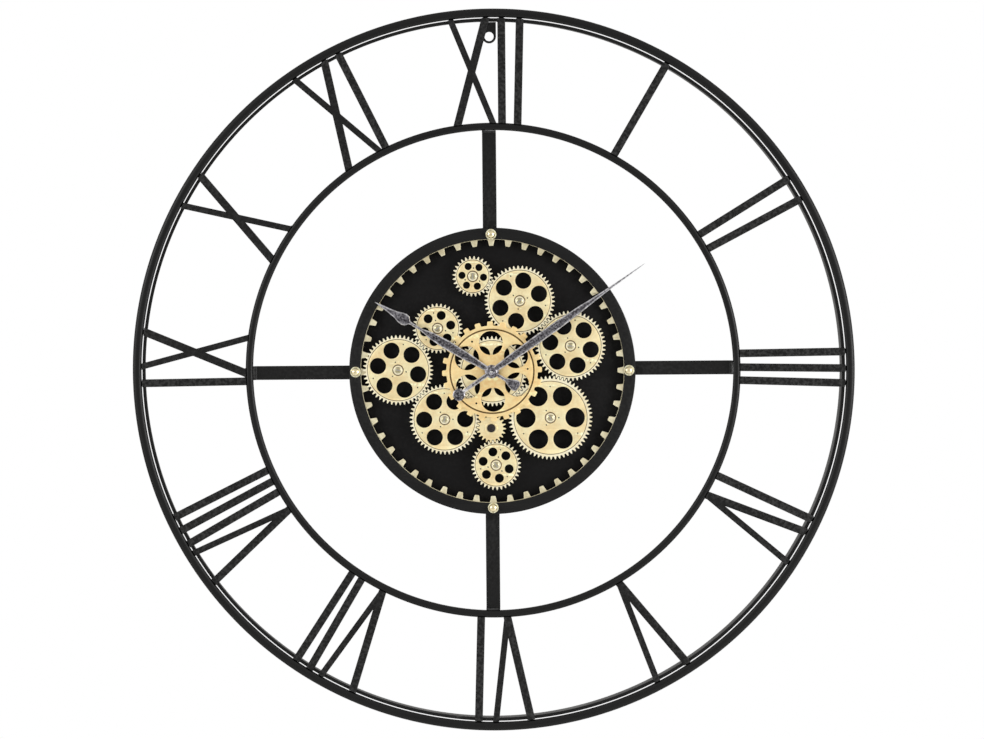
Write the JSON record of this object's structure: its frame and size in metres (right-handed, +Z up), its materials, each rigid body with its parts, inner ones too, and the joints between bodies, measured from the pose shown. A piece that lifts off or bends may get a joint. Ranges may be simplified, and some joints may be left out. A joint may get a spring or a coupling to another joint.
{
  "type": "wall clock",
  "caption": "Round skeleton wall clock: Roman numeral bars between two rings, black dial plate with exposed brass gear train, toothed brass ring and two hands.",
  "frame": {"origin": "centre of the dial, on the flat back of the movement case, in the wall plane", "axes": "+Y into the wall, front faces -Y, +Z up, +X to the viewer's right"},
  "size_m": [0.6, 0.0385, 0.6],
  "materials": {
    "satin_black_paint": "satin",
    "wheel_brass": "brushed",
    "hand_gunmetal": "brushed",
    "turned_steel": "turned",
    "movement_plastic": "matte",
    "cell_wrap": "gloss"
  },
  "bodies": {
    "clock_frame": {"bezel_ring": "satin_black_paint", "cap_nut_1": "wheel_brass", "cap_nut_2": "wheel_brass", "cap_nut_3": "wheel_brass", "cap_nut_4": "wheel_brass", "clock_cell": "cell_wrap", "dial_plate": "satin_black_paint", "hanging_eye": "satin_black_paint", "inner_ring": "satin_black_paint", "motor_case": "movement_plastic", "movement_case": "movement_plastic", "numeral_III_bar_1": "satin_black_paint", "numeral_III_bar_2": "satin_black_paint", "numeral_III_bar_3": "satin_black_paint", "numeral_II_bar_1": "satin_black_paint", "numeral_II_bar_2": "satin_black_paint", "numeral_IV_bar_1": "satin_black_paint", "numeral_IV_v": "satin_black_paint", "numeral_IX_bar_1": "satin_black_paint", "numeral_IX_x": "satin_black_paint", "numeral_I_bar_1": "satin_black_paint", "numeral_VIII_bar_1": "satin_black_paint", "numeral_VIII_bar_2": "satin_black_paint", "numeral_VIII_bar_3": "satin_black_paint", "numeral_VIII_v": "satin_black_paint", "numeral_VII_bar_1": "satin_black_paint", "numeral_VII_bar_2": "satin_black_paint", "numeral_VII_v": "satin_black_paint", "numeral_VI_bar_1": "satin_black_paint", "numeral_VI_v": "satin_black_paint", "numeral_V_v": "satin_black_paint", "numeral_XII_bar_1": "satin_black_paint", "numeral_XII_bar_2": "satin_black_paint", "numeral_XII_x": "satin_black_paint", "numeral_XI_bar_1": "satin_black_paint", "numeral_XI_x": "satin_black_paint", "numeral_X_x": "satin_black_paint", "numeral_band": "satin_black_paint", "outer_rim": "satin_black_paint", "spoke_bottom": "satin_black_paint", "spoke_left": "satin_black_paint", "spoke_right": "satin_black_paint", "spoke_top": "satin_black_paint", "toothed_ring": "wheel_brass"},
    "minute_hand": {"minute_hand": "hand_gunmetal", "minute_arbor": "turned_steel", "hand_nut": "turned_steel"},
    "hour_hand": {"hour_hand": "hand_gunmetal"},
    "setting_knob": {"setting_knob": "movement_plastic"},
    "centre_wheel": {"centre_wheel_front": "wheel_brass", "centre_wheel_rear": "wheel_brass"},
    "wheel_lower_left": {"wheel_lower_left": "wheel_brass"},
    "wheel_lower_right": {"wheel_lower_right": "wheel_brass"},
    "wheel_left": {"wheel_left": "wheel_brass"},
    "wheel_upper_left": {"wheel_upper_left": "wheel_brass"},
    "motor_pinion": {"motor_pinion": "wheel_brass"},
    "wheel_bottom": {"wheel_bottom": "wheel_brass"},
    "wheel_right": {"wheel_right": "wheel_brass"},
    "wheel_upper": {"wheel_upper": "wheel_brass"},
    "wheel_top": {"wheel_top": "wheel_brass"}
  },
  "joints": [
    {"name": "minute_spin", "type": "hinge", "parent": "clock_frame", "child": "minute_hand", "pos_m": [0, -0.0238, 0], "axis": [0, 1, 0], "continuous": true},
    {"name": "hour_spin", "type": "hinge", "parent": "clock_frame", "child": "hour_hand", "pos_m": [0, -0.0238, 0], "axis": [0, 1, 0], "continuous": true},
    {"name": "knob_turn", "type": "hinge", "parent": "clock_frame", "child": "setting_knob", "pos_m": [0.012, -0.0238, 0.012], "axis": [0, 1, 0], "continuous": true},
    {"name": "centre_spin", "type": "hinge", "parent": "clock_frame", "child": "centre_wheel", "pos_m": [0, -0.0238, 0], "axis": [0, 1, 0], "continuous": true},
    {"name": "wheel_lower_left_spin", "type": "hinge", "parent": "clock_frame", "child": "wheel_lower_left", "pos_m": [-0.03977, -0.0238, -0.03977], "axis": [0, 1, 0], "continuous": true},
    {"name": "wheel_lower_right_spin", "type": "hinge", "parent": "clock_frame", "child": "wheel_lower_right", "pos_m": [0.04809, -0.0238, -0.03894], "axis": [0, 1, 0], "continuous": true},
    {"name": "wheel_left_spin", "type": "hinge", "parent": "clock_frame", "child": "wheel_left", "pos_m": [-0.07814, -0.0238, 0.00136], "axis": [0, 1, 0], "continuous": true},
    {"name": "wheel_upper_left_spin", "type": "hinge", "parent": "clock_frame", "child": "wheel_upper_left", "pos_m": [-0.04492, -0.0238, 0.03576], "axis": [0, 1, 0], "continuous": true},
    {"name": "motor_pinion_spin", "type": "hinge", "parent": "clock_frame", "child": "motor_pinion", "pos_m": [-0.00112, -0.0238, -0.04729], "axis": [0, 1, 0], "continuous": true},
    {"name": "wheel_bottom_spin", "type": "hinge", "parent": "clock_frame", "child": "wheel_bottom", "pos_m": [0.00265, -0.0238, -0.07799], "axis": [0, 1, 0], "continuous": true},
    {"name": "wheel_right_spin", "type": "hinge", "parent": "clock_frame", "child": "wheel_right", "pos_m": [0.06514, -0.0238, 0.02054], "axis": [0, 1, 0], "continuous": true},
    {"name": "wheel_upper_spin", "type": "hinge", "parent": "clock_frame", "child": "wheel_upper", "pos_m": [0.02334, -0.0238, 0.05818], "axis": [0, 1, 0], "continuous": true},
    {"name": "wheel_top_spin", "type": "hinge", "parent": "clock_frame", "child": "wheel_top", "pos_m": [-0.0154, -0.0238, 0.07878], "axis": [0, 1, 0], "continuous": true}
  ],
  "couplings": [
    {"joint": "hour_spin", "follows": "minute_spin", "ratio": 0.083333},
    {"joint": "knob_turn", "follows": "minute_spin", "ratio": -1},
    {"joint": "wheel_lower_left_spin", "follows": "centre_spin", "ratio": -1},
    {"joint": "wheel_lower_right_spin", "follows": "centre_spin", "ratio": -0.83333},
    {"joint": "wheel_left_spin", "follows": "centre_spin", "ratio": 1},
    {"joint": "wheel_upper_left_spin", "follows": "centre_spin", "ratio": -1.4286},
    {"joint": "motor_pinion_spin", "follows": "centre_spin", "ratio": 2.5},
    {"joint": "wheel_bottom_spin", "follows": "centre_spin", "ratio": -1.4286},
    {"joint": "wheel_right_spin", "follows": "centre_spin", "ratio": 1},
    {"joint": "wheel_upper_spin", "follows": "centre_spin", "ratio": -1},
    {"joint": "wheel_top_spin", "follows": "centre_spin", "ratio": 1.7857}
  ]
}
